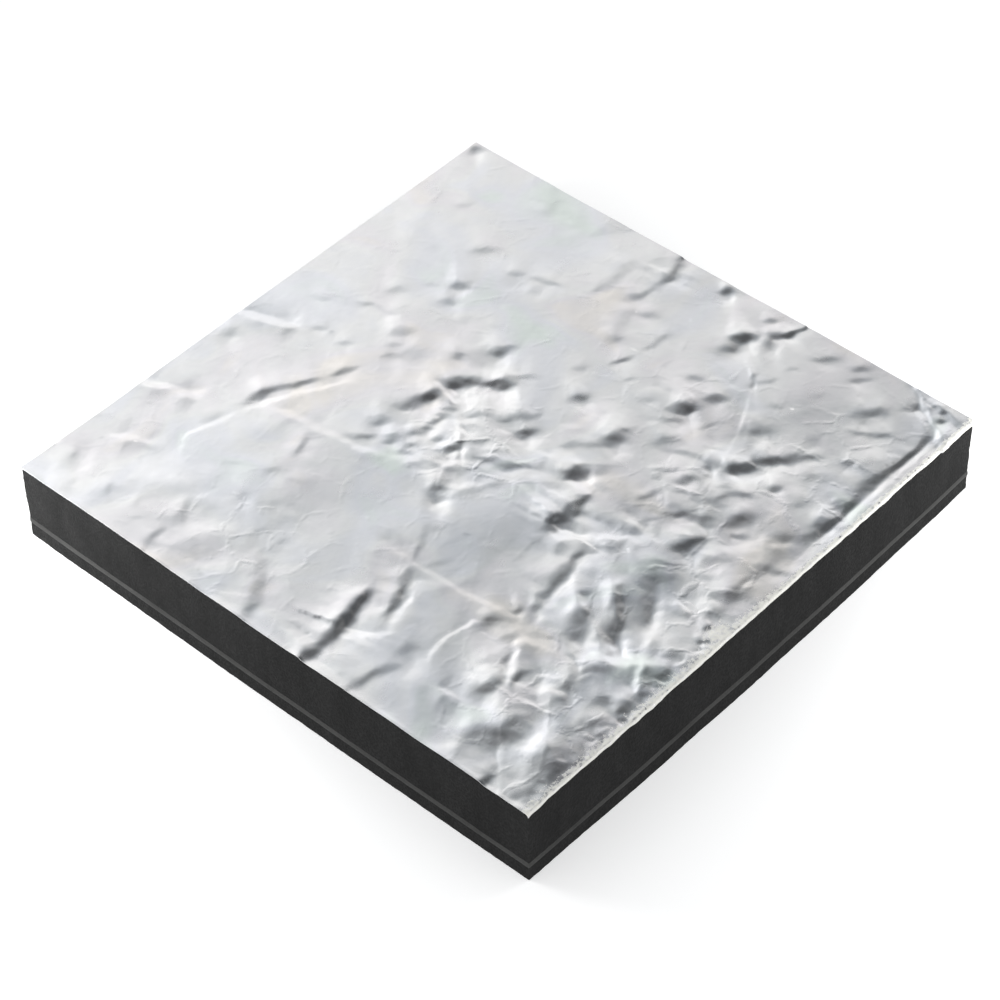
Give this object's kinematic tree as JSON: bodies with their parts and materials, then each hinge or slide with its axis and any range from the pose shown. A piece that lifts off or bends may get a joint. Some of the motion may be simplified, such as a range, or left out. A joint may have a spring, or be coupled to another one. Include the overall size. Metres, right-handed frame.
{
  "type": "acoustic insulation panel",
  "caption": "Square foil-faced acoustic insulation panel: open-cell absorber foam, limp mass barrier and thin decoupler foam under a creased aluminium facing.",
  "frame": {"origin": "centre of the underside, which is the side that is bonded to a wall, roof or casing", "axes": "+Z through the thickness, from the bonding side to the foil; -Y towards the edge that the foil is rolled over; +X along that edge, to the right seen from in front of it"},
  "size_m": [0.231, 0.231, 0.0338],
  "materials": {
    "foil_facing": "bright creased aluminium foil laminate",
    "absorber_foam": "charcoal open-cell polyurethane foam, knife cut",
    "barrier_sheet": "matt grey mass-loaded vinyl, knife cut",
    "decoupler_foam": "charcoal open-cell polyurethane foam, knife cut"
  },
  "bodies": {
    "root": {"foil_facing": "foil_facing", "absorber_foam": "absorber_foam", "barrier_sheet": "barrier_sheet", "decoupler_foam": "decoupler_foam"}
  },
  "joints": []
}
